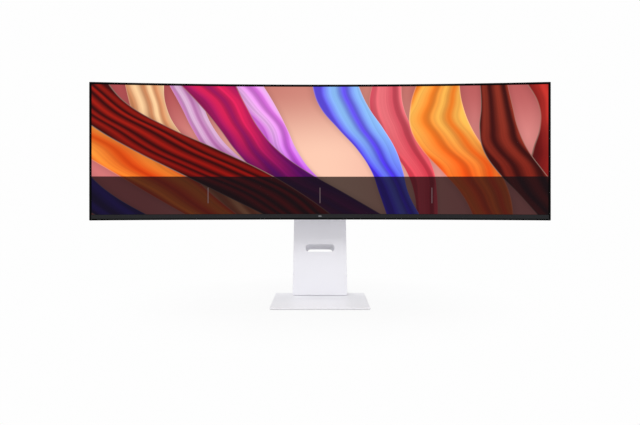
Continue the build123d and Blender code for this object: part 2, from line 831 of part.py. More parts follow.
with BuildPart() as tilt_bracket:
    with BuildSketch(back_plane(head_plate_back + 3.1)):
        with Locations((0, mount_z)):
            Rectangle(2 * ear_outer, 56)
        with Locations((0, mount_z)):
            with GridLocations(*tilt_screw_grid):
                Circle(2.1, mode=Mode.SUBTRACT)
    extrude(amount=3.0)
    for ear_x in (-ear_outer, ear_inner):
        with BuildSketch(side_plane(ear_x)):
            with Locations((head_plate_back + 1.6, mount_z)):
                Rectangle(3, 52)
            with Locations(tilt_axis):
                Circle(10.5)
            make_hull()
            with Locations(tilt_axis):
                Circle(shaft_radius + running_clearance, mode=Mode.SUBTRACT)
        extrude(amount=ear_outer - ear_inner)
tilt_bracket.part.label = "tilt_bracket"
export_step(tilt_bracket.part, "parts/tilt_bracket.step")

with BuildPart() as bracket_screws:
    # Four hold the wall-mount bracket to the tray, four hold the tilt bracket to the head plate.
    with BuildSketch(back_plane(tray_front - gap / 2)):
        with Locations(bracket_middle):
            with GridLocations(*leg_pitch, 2, 2):
                Circle(3.5)
    extrude(amount=2.2)
    with BuildSketch(back_plane(tray_back + 10)):
        with Locations(bracket_middle):
            with GridLocations(*leg_pitch, 2, 2):
                Circle(1.5)
    extrude(amount=tray_back + 10 - tray_front + 1)
    with BuildSketch(back_plane(head_plate_back + 5.4)):
        with Locations((0, mount_z)):
            with GridLocations(*tilt_screw_grid):
                Circle(3.4)
    extrude(amount=2.2)
    with BuildSketch(back_plane(head_plate_back + 4)):
        with Locations((0, mount_z)):
            with GridLocations(*tilt_screw_grid):
                Circle(1.6)
    extrude(amount=6.8)
bracket_screws.part.label = "bracket_screws"
export_step(bracket_screws.part, "parts/bracket_screws.step")

with BuildPart() as tilt_shaft:
    with BuildSketch(side_plane(-28)):
        with Locations(tilt_axis):
            Circle(shaft_radius)
    extrude(amount=56)
    with BuildSketch(side_plane(ear_outer + gap)):
        with Locations(tilt_axis):
            Circle(8.5)
    extrude(amount=3)
    # Nut on the other end.
    with BuildSketch(side_plane(-ear_outer - gap - 4)):
        with Locations(tilt_axis):
            RegularPolygon(9.2, 6)
            Circle(shaft_radius + running_clearance, mode=Mode.SUBTRACT)
    extrude(amount=4)
tilt_shaft.part.label = "tilt_shaft"
export_step(tilt_shaft.part, "parts/tilt_shaft.step")

with BuildPart() as tilt_washers:
    for washer_x in (-ear_inner + 0.1, arm_half + 0.1):
        with BuildSketch(side_plane(washer_x)):
            with Locations(tilt_axis):
                Circle(11)
                Circle(shaft_radius + 0.1, mode=Mode.SUBTRACT)
        extrude(amount=ear_inner - arm_half - 0.2)
tilt_washers.part.label = "tilt_washers"
export_step(tilt_washers.part, "parts/tilt_washers.step")

cover_half_width = 46.0
head_cover_front = head_plate_back + 0.2
head_cover_back = 47.0          # where the flat sides end and the rounded nose begins
nose_radius = 14.5

with BuildPart() as head_cover:
    with BuildSketch(side_plane(-cover_half_width)):
        with Locations(((head_cover_front + head_cover_back) / 2, mount_z)):
            Rectangle(head_cover_back - head_cover_front, head_top - head_bottom)
        with Locations(tilt_axis):
            Circle(nose_radius)
        make_hull()
    extrude(amount=2 * cover_half_width)
    fillet(head_cover.faces().sort_by(Axis.X)[0].edges(), radius=1.5)
    fillet(head_cover.faces().sort_by(Axis.X)[-1].edges(), radius=1.5)
    with BuildSketch(side_plane(-cover_half_width + 2)):
        with Locations((40, mount_z)):
            Rectangle(10, head_top - head_bottom - 4)
        with Locations(tilt_axis):
            Circle(nose_radius - 2)
        make_hull()
    extrude(amount=2 * cover_half_width - 4, mode=Mode.SUBTRACT)
    # Way through for the arm over the whole tilt range.
    with BuildSketch(back_plane(90)):
        with Locations((0, mount_z)):
            Rectangle(2 * ear_inner - 1, 36)
    extrude(amount=44, mode=Mode.SUBTRACT)
    # Way through for the release button.
    with BuildSketch(Plane.XY.offset(head_bottom - 2)):
        with Locations((0, 41.8)):
            Rectangle(29, 6)
    extrude(amount=5, mode=Mode.SUBTRACT)
head_cover.part.label = "head_cover"
export_step(head_cover.part, "parts/head_cover.step")

latch_front = hook_front + 0.1
button_back = 44.6

with BuildPart() as release_latch:
    with BuildSketch(back_plane(head_plate_back + 2.2)):
        with Locations((0, 356.25)):
            Rectangle(24, 23.5)
    extrude(amount=2.0)
    with BuildSketch(back_plane(head_plate_back + 1)):
        with Locations((0, 350)):
            Rectangle(12, 4)
    extrude(amount=head_plate_back + 1 - latch_front)
    with BuildSketch(back_plane(hook_back)):
        with Locations((0, 348.25)):
            Rectangle(12, 7.5)
    extrude(amount=hook_back - latch_front)
release_latch.part.label = "release_latch"
export_step(release_latch.part, "parts/release_latch.step")

with BuildPart() as release_button:
    with BuildSketch(back_plane(button_back)):
        with Locations((0, 343)):
            RectangleRounded(28, 14, 2)
    extrude(amount=button_back - head_plate_back - 2.4)
    fillet(release_button.edges().filter_by(Axis.X).group_by(Axis.Z)[0], radius=1.2)
release_button.part.label = "release_button"
export_step(release_button.part, "parts/release_button.step")

# ================================================================ LIFT

rail_x = 40.0
rail_y = 94.0
rail_radius = 4.0
carriage_half = 52.0
carriage_front = 85.5
carriage_back = 103.0
carriage_bottom = 372.0
carriage_top = 428.0
drum_axis = (95.0, 355.0)       # Y and Z
drum_z = drum_axis[1]
coil_radius = 12.0
hub_radius = 7.0
axle_radius = 3.0
drum_half = 23.5
rail_spots = [(-rail_x, rail_y), (rail_x, rail_y)]
rail_bottom = 218.0
rail_top = 441.0
tape_y = 107.4
tape_top = 433.0                # the tapes are clamped to the neck here

with BuildPart() as carriage:
    with BuildSketch(back_plane(carriage_back)):
        with Locations((0, (carriage_bottom + carriage_top) / 2)):
            RectangleRounded(2 * carriage_half, carriage_top - carriage_bottom, 4)
    extrude(amount=carriage_back - carriage_front)
    # Arm and knuckle.
    with BuildSketch(side_plane(-arm_half)):
        with Locations(((tilt_y + carriage_front) / 2 + 1, mount_z)):
            Rectangle(carriage_front - tilt_y + 2, 2 * knuckle_radius)
        with Locations(tilt_axis):
            Circle(knuckle_radius)
    extrude(amount=2 * arm_half)
    with BuildSketch(side_plane(-arm_half)):
        with Locations(tilt_axis):
            Circle(shaft_radius + running_clearance)
    extrude(amount=2 * arm_half, mode=Mode.SUBTRACT)
    # Cheeks that hold the spring drum.
    for cheek_x in (-27.5, 24.5):
        with BuildSketch(side_plane(cheek_x)):
            with Locations(drum_axis):
                Circle(8)
            with Locations((drum_axis[0], carriage_bottom + 2)):
                Rectangle(16, 6)
            make_hull()
            with Locations(drum_axis):
                Circle(axle_radius + running_clearance, mode=Mode.SUBTRACT)
        extrude(amount=3)
    # Bores for the slide bushings.
    with BuildSketch(Plane.XY.offset(carriage_bottom - 1)):
        with Locations(*rail_spots):
            Circle(rail_radius + 3.1)
    extrude(amount=carriage_top - carriage_bottom + 2, mode=Mode.SUBTRACT)
    # Round clearance so that the drum can turn under the block.
    with BuildSketch(side_plane(-24)):
        with Locations(drum_axis):
            Circle(coil_radius + 1.5)
    extrude(amount=48, mode=Mode.SUBTRACT)
carriage.part.label = "carriage"
export_step(carriage.part, "parts/carriage.step")

with BuildPart() as slide_bushings:
    for bushing_z in (carriage_bottom + 1, carriage_top - 17):
        with BuildSketch(Plane.XY.offset(bushing_z)):
            with Locations(*rail_spots):
                Circle(rail_radius + 3.0)
                Circle(rail_radius + running_clearance, mode=Mode.SUBTRACT)
        extrude(amount=16)
slide_bushings.part.label = "slide_bushings"
export_step(slide_bushings.part, "parts/slide_bushings.step")

with BuildPart() as slide_rails:
    with BuildSketch(Plane.XY.offset(rail_bottom)):
        with Locations(*rail_spots):
            Circle(rail_radius)
    extrude(amount=rail_top - rail_bottom)
slide_rails.part.label = "slide_rails"
export_step(slide_rails.part, "parts/slide_rails.step")

with BuildPart() as drum_axle:
    with BuildSketch(side_plane(-28.5)):
        with Locations(drum_axis):
            Circle(axle_radius)
    extrude(amount=57)
drum_axle.part.label = "drum_axle"
export_step(drum_axle.part, "parts/drum_axle.step")

with BuildPart() as drum_hub:
    with BuildSketch(side_plane(-drum_half)):
        with Locations(drum_axis):
            Circle(hub_radius)
    extrude(amount=2 * drum_half)
    for rim_x in (-drum_half, -0.5, drum_half - 1):
        with BuildSketch(side_plane(rim_x)):
            with Locations(drum_axis):
                Circle(coil_radius + 0.6)
        extrude(amount=1)
    with BuildSketch(side_plane(-drum_half)):
        with Locations(drum_axis):
            Circle(axle_radius + running_clearance)
    extrude(amount=2 * drum_half, mode=Mode.SUBTRACT)
drum_hub.part.label = "drum_hub"
export_step(drum_hub.part, "parts/drum_hub.step")

with BuildPart() as spring_coils:
    for coil_x in (-22, 2):
        with BuildSketch(side_plane(coil_x)):
            with Locations(drum_axis):
                Circle(coil_radius)
                Circle(hub_radius + 0.05, mode=Mode.SUBTRACT)
        extrude(amount=20)
spring_coils.part.label = "spring_coils"
export_step(spring_coils.part, "parts/spring_coils.step")

with BuildPart() as spring_tapes:
    with BuildSketch(back_plane(tape_y)):
        with Locations((-12, (drum_z + tape_top) / 2), (12, (drum_z + tape_top) / 2)):
            Rectangle(20, tape_top - drum_z)
    extrude(amount=0.3)
spring_tapes.part.label = "spring_tapes"
export_step(spring_tapes.part, "parts/spring_tapes.step")

# ================================================================ NECK

frame_plate_back = neck_inside_back - 2.0
frame_plate_thickness = 2.5
frame_plate_front = frame_plate_back - frame_plate_thickness
frame_flange_front = 82.0
frame_half = 58.0
frame_bottom = 12.0
frame_top = 438.0
frame_middle = (frame_bottom + frame_top) / 2
frame_height = frame_top - frame_bottom
cover_screw_spots = [(x, z) for x in (-46, 46) for z in (45, 415)]


def neck_width(z):
    """Width of the neck at height z."""
    way = (z - neck_bottom) / (neck_top - neck_bottom)
    return neck_foot_width + way * (neck_top_width - neck_foot_width)


def neck_outline(y, inset, low, high):
    """Front view of the neck between two heights, on an upright plane at y."""
    low_half = neck_width(low) / 2 - inset
    high_half = neck_width(high) / 2 - inset
    with BuildSketch(back_plane(y)) as outline:
        Polygon((-low_half, low), (low_half, low), (high_half, high), (-high_half, high), align=None)
    return outline.sketch


def tunnel_section(y, extra):
    """Opening of the cable tunnel at depth y. It narrows and runs down towards the back."""
    way = (y - neck_front) / neck_depth
    width = tunnel_front_width + way * (tunnel_back_width - tunnel_front_width)
    with BuildSketch(back_plane(y)) as opening:
        with Locations((0, tunnel_front_z - way * tunnel_drop)):
            RectangleRounded(width + 2 * extra, tunnel_height + 2 * extra, tunnel_radius + extra)
    return opening.sketch


with BuildPart() as neck_front_cover:
    extrude(
        neck_outline(cover_joint_y - 0.1, 0, neck_bottom, neck_top),
        amount=cover_joint_y - 0.1 - neck_front,
    )
    fillet(neck_front_cover.edges().filter_by(Axis.Y), radius=4.5)
    fillet(neck_front_cover.faces().sort_by(Axis.Y)[0].edges(), radius=1.6)
    extrude(
        neck_outline(cover_joint_y + 5, neck_wall, neck_bottom - 5, neck_top - neck_wall),
        amount=cover_joint_y + 5 - neck_inside_front,
        mode=Mode.SUBTRACT,
    )
    loft([tunnel_section(neck_front - 4, 0), tunnel_section(neck_back + 4, 0)], mode=Mode.SUBTRACT)
    # Slot that the arm slides in.
    with BuildSketch(back_plane(neck_inside_front + 5)):
        with Locations((0, mount_z - height_travel / 2)):
            RectangleRounded(2 * arm_half + 6, height_travel + 2 * knuckle_radius + 12, 6)
    extrude(amount=20, mode=Mode.SUBTRACT)
neck_front_cover.part.label = "neck_front_cover"
export_step(neck_front_cover.part, "parts/neck_front_cover.step")

with BuildPart() as neck_rear_cover:
    extrude(neck_outline(neck_back, 0, neck_bottom, neck_top), amount=neck_back - cover_joint_y - 0.1)
    fillet(neck_rear_cover.edges().filter_by(Axis.Y), radius=4.5)
    fillet(neck_rear_cover.faces().sort_by(Axis.Y)[-1].edges(), radius=1.6)
    extrude(
        neck_outline(neck_inside_back, neck_wall, neck_bottom - 5, neck_top - neck_wall),
        amount=neck_inside_back - neck_inside_front,
        mode=Mode.SUBTRACT,
    )
    loft([tunnel_section(neck_front - 4, 0), tunnel_section(neck_back + 4, 0)], mode=Mode.SUBTRACT)
    with BuildSketch(back_plane(neck_back + 1)):
        with Locations(*cover_screw_spots):
            Circle(3.7)
    extrude(amount=2.6, mode=Mode.SUBTRACT)
    with BuildSketch(back_plane(neck_back + 1)):
        with Locations(*cover_screw_spots):
            Circle(1.7)
    extrude(amount=5, mode=Mode.SUBTRACT)
neck_rear_cover.part.label = "neck_rear_cover"
export_step(neck_rear_cover.part, "parts/neck_rear_cover.step")

with BuildPart() as cable_tunnel:
    loft([tunnel_section(neck_inside_front + gap, 1.6), tunnel_section(neck_inside_back - gap, 1.6)])
    loft([tunnel_section(neck_front - 4, 0), tunnel_section(neck_back + 4, 0)], mode=Mode.SUBTRACT)
cable_tunnel.part.label = "cable_tunnel"
export_step(cable_tunnel.part, "parts/cable_tunnel.step")

foot_half = 54.8
foot_bottom = 10.6
foot_top = 30.6
foot_front = 79.0
frame_screw_spot = (92.0, 20.0)  # Y and Z

with BuildPart() as neck_frame:
    with BuildSketch(back_plane(frame_plate_back)):
        with Locations((0, frame_middle)):
            Rectangle(2 * frame_half, frame_height)
    extrude(amount=frame_plate_thickness)
    with BuildSketch(back_plane(frame_plate_back)):
        with Locations((-frame_half + 1.5, frame_middle), (frame_half - 1.5, frame_middle)):
            Rectangle(3, frame_height)
    extrude(amount=frame_plate_back - frame_flange_front)
    # Cross plates that hold the rails.
    for plate_z in (222, 434):
        with BuildSketch(Plane.XY.offset(plate_z)):
            with Locations((0, (84 + frame_plate_back) / 2)):
                Rectangle(2 * frame_half, frame_plate_back - 84)
            with Locations(*rail_spots):
                Circle(rail_radius + running_clearance, mode=Mode.SUBTRACT)
        extrude(amount=3)
    # Window for the cable tunnel.
    with BuildSketch(back_plane(frame_plate_back + 1)):
        with Locations((0, tunnel_front_z - tunnel_drop * 0.85)):
            RectangleRounded(92, 40, 8)
    extrude(amount=6, mode=Mode.SUBTRACT)
    with BuildSketch(back_plane(frame_plate_back + 1)):
        with Locations(*cover_screw_spots):
            Circle(1.6)
    extrude(amount=6, mode=Mode.SUBTRACT)
    with BuildSketch(side_plane(-frame_half - 1)):
        with Locations(frame_screw_spot):
            Circle(2.2)
    extrude(amount=2 * frame_half + 2, mode=Mode.SUBTRACT)
neck_frame.part.label = "neck_frame"
export_step(neck_frame.part, "parts/neck_frame.step")

with BuildPart() as neck_screws:
    # Four hold the rear cover, two hold the frame to the foot.
    with BuildSketch(back_plane(neck_back - 0.2)):
        with Locations(*cover_screw_spots):
            Circle(3.5)
    extrude(amount=1.3)
    with BuildSketch(back_plane(neck_back - 0.2)):
        with Locations(*cover_screw_spots):
            RegularPolygon(1.3, 6)
    extrude(amount=0.8, mode=Mode.SUBTRACT)
    with BuildSketch(back_plane(neck_back - 1.2)):
        with Locations(*cover_screw_spots):
            Circle(1.5)
    extrude(amount=8)
    for screw_x in (-frame_half - 2.3, frame_half + 0.1):
        with BuildSketch(side_plane(screw_x)):
            with Locations(frame_screw_spot):
                Circle(3.6)
        extrude(amount=2.2)
    for screw_x in (-frame_half - 1, frame_half - 11):
        with BuildSketch(side_plane(screw_x)):
            with Locations(frame_screw_spot):
                Circle(2.0)
        extrude(amount=12)
neck_screws.part.label = "neck_screws"
export_step(neck_screws.part, "parts/neck_screws.step")

# ================================================================ FOOT

post_radius = 10.0
flange_radius = 16.5
flange_bottom = base_top + 0.1
flange_top = flange_bottom + 3.0
stop_radius = 30.0
stop_pin_radius = 2.0
base_screw_circle = 13.0
post_top = 38.6

with BuildPart() as neck_foot:
    with BuildSketch(Plane.XY.offset(foot_bottom)):
        with Locations((0, (foot_front + frame_plate_front - gap) / 2)):
            RectangleRounded(2 * foot_half, frame_plate_front - gap - foot_front, 2)
        with Locations((0, swivel_y)):
            Circle(post_radius + running_clearance, mode=Mode.SUBTRACT)
    extrude(amount=foot_top - foot_bottom)
    # Curved slot for the stop pin.
    with BuildSketch(Plane.XY.offset(foot_bottom)):
        with BuildLine(mode=Mode.PRIVATE) as stop_path:
            CenterArc((0, swivel_y), stop_radius, 180 - swivel_limit, 2 * swivel_limit)
        SlotArc(stop_path.edge(), height=2 * stop_pin_radius + 0.4)
    extrude(amount=12, mode=Mode.SUBTRACT)
    for hole_x in (-foot_half - 1, foot_half - 11):
        with BuildSketch(side_plane(hole_x)):
            with Locations(frame_screw_spot):
                Circle(2.1)
        extrude(amount=12, mode=Mode.SUBTRACT)
neck_foot.part.label = "neck_foot"
export_step(neck_foot.part, "parts/neck_foot.step")

with BuildPart() as swivel_post:
    with BuildSketch(Plane.XY.offset(flange_bottom)):
        with Locations((0, swivel_y)):
            Circle(flange_radius)
            with PolarLocations(base_screw_circle, 3):
                Circle(1.7, mode=Mode.SUBTRACT)
    extrude(amount=flange_top - flange_bottom)
    with BuildSketch(Plane.XY.offset(flange_top)):
        with Locations((0, swivel_y)):
            Circle(post_radius)
    extrude(amount=post_top - flange_top)
    chamfer(swivel_post.edges().group_by(Axis.Z)[-1], length=1)
swivel_post.part.label = "swivel_post"
export_step(swivel_post.part, "parts/swivel_post.step")

with BuildPart() as swivel_washers:
    for washer_z, washer_radius in ((flange_top + 0.1, 16.0), (foot_top + 0.1, 12.7)):
        with BuildSketch(Plane.XY.offset(washer_z)):
            with Locations((0, swivel_y)):
                Circle(washer_radius)
                Circle(post_radius + 0.1, mode=Mode.SUBTRACT)
        extrude(amount=1.0)
swivel_washers.part.label = "swivel_washers"
export_step(swivel_washers.part, "parts/swivel_washers.step")

with BuildPart() as swivel_nut:
    with BuildSketch(Plane.XY.offset(foot_top + 1.2)):
        with Locations((0, swivel_y)):
            Circle(12.7)
            Circle(post_radius + running_clearance, mode=Mode.SUBTRACT)
            with PolarLocations(12.7, 4):
                Rectangle(2.4, 3, mode=Mode.SUBTRACT)
    extrude(amount=5.5)
swivel_nut.part.label = "swivel_nut"
export_step(swivel_nut.part, "parts/swivel_nut.step")

with BuildPart() as stop_pin:
    with BuildSketch(Plane.XY.offset(base_top - 3.5)):
        with Locations((-stop_radius, swivel_y)):
            Circle(stop_pin_radius)
    extrude(amount=18)
stop_pin.part.label = "stop_pin"
export_step(stop_pin.part, "parts/stop_pin.step")

front_pads = [(x, -103) for x in (-108, 0, 108)]
back_pads = [(x, 103) for x in (-108, -48, 48, 108)]
pad_spots = front_pads + back_pads

with BuildPart() as base_plate:
    with BuildSketch(Plane.XY.offset(pad_height)):
        RectangleRounded(base_width, base_depth, 3)
    extrude(amount=base_thickness)
    fillet(base_plate.faces().sort_by(Axis.Z)[-1].edges(), radius=1.0)
    chamfer(base_plate.faces().sort_by(Axis.Z)[0].edges(), length=2.5)
    with BuildSketch(Plane.XY.offset(pad_height)):
        with Locations(*pad_spots):
            Circle(12.2)
    extrude(amount=0.9, mode=Mode.SUBTRACT)
    with BuildSketch(Plane.XY.offset(pad_height)):
        with Locations((0, swivel_y)):
            with PolarLocations(base_screw_circle, 3):
                Circle(4.2)
    extrude(amount=2.6, mode=Mode.SUBTRACT)
    with BuildSketch(Plane.XY.offset(pad_height)):
        with Locations((0, swivel_y)):
            with PolarLocations(base_screw_circle, 3):
                Circle(2.2)
    extrude(amount=base_thickness, mode=Mode.SUBTRACT)
    with BuildSketch(Plane.XY.offset(base_top)):
        with Locations((-stop_radius, swivel_y)):
            Circle(stop_pin_radius + running_clearance)
    extrude(amount=-3.6, mode=Mode.SUBTRACT)
base_plate.part.label = "base_plate"
export_step(base_plate.part, "parts/base_plate.step")

with BuildPart() as base_pads:
    with BuildSketch():
        with Locations(*pad_spots):
            Circle(12)
    extrude(amount=pad_height + 0.8)
base_pads.part.label = "base_pads"
export_step(base_pads.part, "parts/base_pads.step")

with BuildPart() as base_screws:
    with BuildSketch(Plane.XY.offset(pad_height + 0.2)):
        with Locations((0, swivel_y)):
            with PolarLocations(base_screw_circle, 3):
                Circle(4)
                RegularPolygon(1.6, 6, mode=Mode.SUBTRACT)
    extrude(amount=2.3)
    with BuildSketch(Plane.XY.offset(pad_height + 2)):
        with Locations((0, swivel_y)):
            with PolarLocations(base_screw_circle, 3):
                Circle(1.65)
    extrude(amount=5.8)
base_screws.part.label = "base_screws"
export_step(base_screws.part, "parts/base_screws.step")
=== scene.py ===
"""Looks of the curved ultrawide monitor: materials, the picture on the screen, studio light and camera."""
import json
import math

import bpy
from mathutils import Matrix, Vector


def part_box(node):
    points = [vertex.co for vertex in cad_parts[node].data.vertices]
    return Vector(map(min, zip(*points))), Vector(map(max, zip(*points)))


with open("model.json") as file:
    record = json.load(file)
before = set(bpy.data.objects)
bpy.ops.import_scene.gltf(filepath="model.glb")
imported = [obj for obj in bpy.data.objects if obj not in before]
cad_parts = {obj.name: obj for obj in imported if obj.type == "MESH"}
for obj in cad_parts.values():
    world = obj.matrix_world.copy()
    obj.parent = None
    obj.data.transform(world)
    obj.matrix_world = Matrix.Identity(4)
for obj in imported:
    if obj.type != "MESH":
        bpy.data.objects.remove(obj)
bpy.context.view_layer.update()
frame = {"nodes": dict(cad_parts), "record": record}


# ---------------------------------------------------------------- node graph helper


class Graph:
    """A short way to write a node material."""

    def __init__(self, name):
        self.material = bpy.data.materials.new(name)
        self.material.use_nodes = True
        self.tree = self.material.node_tree
        self.tree.nodes.clear()
        self.output = self.add("ShaderNodeOutputMaterial")

    def add(self, kind, **settings):
        node = self.tree.nodes.new(kind)
        for key, value in settings.items():
            setattr(node, key, value)
        return node

    def set(self, socket, value):
        """Feeds a socket from another socket, or gives it a constant."""
        if isinstance(value, bpy.types.NodeSocket):
            self.tree.links.new(value, socket)
        else:
            socket.default_value = value

    def math(self, operation, a, b=0.0, c=0.0):
        node = self.add("ShaderNodeMath", operation=operation)
        for socket, value in zip(node.inputs, (a, b, c)):
            self.set(socket, value)
        return node.outputs[0]

    def gap(self, value, centre):
        """How far a number is from another, without sign."""
        return self.math("ABSOLUTE", self.math("SUBTRACT", value, centre))

    def remap(self, value, low, high, to_low=0.0, to_high=1.0, smooth=False):
        node = self.add("ShaderNodeMapRange", interpolation_type="SMOOTHSTEP" if smooth else "LINEAR")
        for socket, number in zip(node.inputs, (value, low, high, to_low, to_high)):
            self.set(socket, number)
        return node.outputs[0]

    def spread(self, noise, to_low=0.0, to_high=1.0):
        """Spreads a noise, most of which lies between 0.3 and 0.7, over a range."""
        return self.remap(noise, 0.3, 0.7, to_low, to_high)

    def mix(self, factor, a, b, blend="MIX"):
        node = self.add("ShaderNodeMix", data_type="RGBA", blend_type=blend)
        self.set(node.inputs[0], factor)
        for socket, value in ((node.inputs[6], a), (node.inputs[7], b)):
            self.set(socket, (*value, 1.0) if isinstance(value, tuple) and len(value) == 3 else value)
        return node.outputs[2]

    def ramp(self, value, stops):
        """Smooth colour ramp from (position, colour) pairs."""
        node = self.add("ShaderNodeValToRGB")
        node.color_ramp.interpolation = "EASE"
        elements = node.color_ramp.elements
        while len(elements) < len(stops):
            elements.new(0.5)
        for element, (position, colour) in zip(elements, stops):
            element.position = position
            element.color = (*colour, 1.0)
        self.set(node.inputs[0], value)
        return node.outputs[0]

    def curve(self, value, points):
        """Smooth curve through (from, to) points, sorted by the first number."""
        node = self.add("ShaderNodeFloatCurve")
        mapping = node.mapping
        mapping.use_clip = False
        mapping.extend = "HORIZONTAL"
        line = mapping.curves[0]
        while len(line.points) < len(points):
            line.points.new(0.5, 0.5)
        for point, (x, y) in zip(line.points, points):
            point.location = (x, y)
        mapping.update()
        self.set(node.inputs["Value"], value)
        return node.outputs[0]

    def wave(self, value, rate):
        """Sine wave along one number."""
        return self.math("SINE", self.math("MULTIPLY", value, rate))

    def line_noise(self, value, detail):
        """Noise along one number."""
        node = self.add("ShaderNodeTexNoise", noise_dimensions="1D")
        node.inputs["Scale"].default_value = 1.0
        node.inputs["Detail"].default_value = detail
        self.set(node.inputs["W"], value)
        return node.outputs["Fac"]

    def scale(self, colour, factor):
        """The colour made lighter or darker."""
        node = self.add("ShaderNodeVectorMath", operation="SCALE")
        self.set(node.inputs[0], colour)
        self.set(node.inputs["Scale"], factor)
        return node.outputs[0]

    def noise(self, scale, detail=3.0, roughness=0.5, vector=None):
        node = self.add("ShaderNodeTexNoise")
        node.inputs["Scale"].default_value = scale
        node.inputs["Detail"].default_value = detail
        node.inputs["Roughness"].default_value = roughness
        self.set(node.inputs["Vector"], vector or self.place())
        return node.outputs["Fac"]

    def place(self):
        """Position on the piece in metres, in the shared frame at rest."""
        return self.add("ShaderNodeTexCoord").outputs["Object"]

    def axes(self, vector=None):
        split = self.add("ShaderNodeSeparateXYZ")
        self.set(split.inputs[0], vector or self.place())
        return split.outputs

    def stretch(self, x, y, z):
        """The place, stretched by a factor along each axis."""
        node = self.add("ShaderNodeMapping")
        node.inputs["Scale"].default_value = (x, y, z)
        self.set(node.inputs["Vector"], self.place())
        return node.outputs[0]

    def bump(self, height, distance):
        node = self.add("ShaderNodeBump")
        node.inputs["Distance"].default_value = distance
        self.set(node.inputs["Height"], height)
        return node.outputs[0]

    def surface(self, **inputs):
        """Ends the graph in one Principled shader. Input names use _ for a space."""
        shader = self.add("ShaderNodeBsdfPrincipled")
        for key, value in inputs.items():
            if isinstance(value, tuple) and len(value) == 3:
                value = (*value, 1.0)
            self.set(shader.inputs[key.replace("_", " ")], value)
        self.tree.links.new(shader.outputs[0], self.output.inputs[0])
        return self.material


def srgb(red, green, blue):
    """Linear colour of an 8-bit display colour."""
    def linear(value):
        value /= 255.0
        return value / 12.92 if value <= 0.04045 else ((value + 0.055) / 1.055) ** 2.4
    return (linear(red), linear(green), linear(blue))


def tones(*rows):
    """Colour stops from (place, red, green, blue) rows, the colours in 8-bit display values."""
    return [(row[0], srgb(*row[1:])) for row in rows]


# ---------------------------------------------------------------- materials


def moulded_plastic(name, colour, roughness=0.45, grain=1400.0, grain_height=0.00002, specular=0.5):
    """Moulded plastic: spark-eroded grain, faint cloudiness and slightly uneven gloss."""
    graph = Graph(name)
    cloud = graph.noise(6.0, 2.0)
    tone = graph.mix(graph.spread(cloud), tuple(c * 0.975 for c in colour), colour)
    gloss = graph.spread(graph.noise(35.0, 4.0), roughness - 0.05, roughness + 0.05)
    grain_map = graph.noise(grain, 2.0, 0.6)
    return graph.surface(
        Base_Color=tone,
        Roughness=gloss,
        Specular_IOR_Level=specular,
        Normal=graph.bump(grain_map, grain_height),
    )


def powder_coat(name, colour):
    """Powder-coated metal: soft orange peel under a low sheen."""
    graph = Graph(name)
    peel = graph.noise(420.0, 3.0, 0.55)
    tone = graph.mix(graph.spread(graph.noise(4.0, 2.0)), tuple(c * 0.98 for c in colour), colour)
    gloss = graph.spread(graph.noise(60.0, 3.0), 0.36, 0.46)
    return graph.surface(
        Base_Color=tone,
        Roughness=gloss,
        Specular_IOR_Level=0.45,
        Normal=graph.bump(peel, 0.00003),
    )


def brushed_metal(name, colour, roughness=0.32, along=(20.0, 1500.0, 1500.0)):
    """Metal with fine lines along one axis."""
    graph = Graph(name)
    lines = graph.noise(1.0, 5.0, 0.7, graph.stretch(*along))
    tone = graph.mix(graph.spread(lines), tuple(c * 0.82 for c in colour), colour)
    gloss = graph.spread(lines, roughness - 0.08, roughness + 0.1)
    return graph.surface(
        Base_Color=tone,
        Metallic=1.0,
        Roughness=gloss,
        Normal=graph.bump(lines, 0.000015),
    )


def cast_metal(name, colour):
    """Cast aluminium: pitted and matt."""
    graph = Graph(name)
    pits = graph.noise(700.0, 5.0, 0.65)
    tone = graph.mix(graph.remap(pits, 0.35, 0.65), tuple(c * 0.8 for c in colour), colour)
    return graph.surface(
        Base_Color=tone,
        Metallic=1.0,
        Roughness=graph.spread(pits, 0.45, 0.65),
        Normal=graph.bump(pits, 0.00008),
    )


def circuit_board(name):
    """Solder mask with traces, and darker fields between them."""
    graph = Graph(name)
    place = graph.axes()
    traces = graph.math("MAXIMUM", graph.wave(place["Z"], 2600.0), 0.0)
    rows = graph.math("MAXIMUM", graph.wave(place["X"], 700.0), 0.0)
    lines = graph.math("MULTIPLY", traces, rows)
    tone = graph.mix(lines, (0.012, 0.075, 0.035), (0.03, 0.16, 0.07))
    return graph.surface(
        Base_Color=tone,
        Roughness=graph.spread(graph.noise(200.0), 0.3, 0.45),
        Normal=graph.bump(lines, 0.00004),
    )


def optical_film(name):
    """Clear and white sheets behind the panel, with the light guide's dots."""
    graph = Graph(name)
    dots = graph.add("ShaderNodeTexVoronoi")
    dots.inputs["Scale"].default_value = 420.0
    graph.set(dots.inputs["Vector"], graph.place())
    dot = graph.remap(dots.outputs["Distance"], 0.15, 0.35, smooth=True)
    return graph.surface(
        Base_Color=graph.mix(dot, (0.95, 0.96, 0.98), (0.78, 0.8, 0.84)),
        Roughness=graph.remap(dot, 0.0, 1.0, 0.25, 0.5),
        Normal=graph.bump(dot, 0.00003),
    )


def rubber(name):
    graph = Graph(name)
    crumb = graph.noise(1500.0, 4.0, 0.7)
    return graph.surface(
        Base_Color=graph.mix(crumb, (0.014, 0.014, 0.015), (0.03, 0.03, 0.031)),
        Roughness=graph.spread(crumb, 0.7, 0.9),
        Normal=graph.bump(crumb, 0.00005),
    )


def flex_film(name):
    """Amber film with copper tracks along the cable."""
    graph = Graph(name)
    across = graph.axes()["X"]
    tracks = graph.remap(graph.wave(across, 4000.0), -0.2, 0.2, smooth=True)
    return graph.surface(
        Base_Color=graph.mix(tracks, (0.3, 0.11, 0.02), (0.5, 0.22, 0.05)),
        Roughness=graph.remap(tracks, 0.0, 1.0, 0.34, 0.24),
        Normal=graph.bump(tracks, 0.00002),
    )


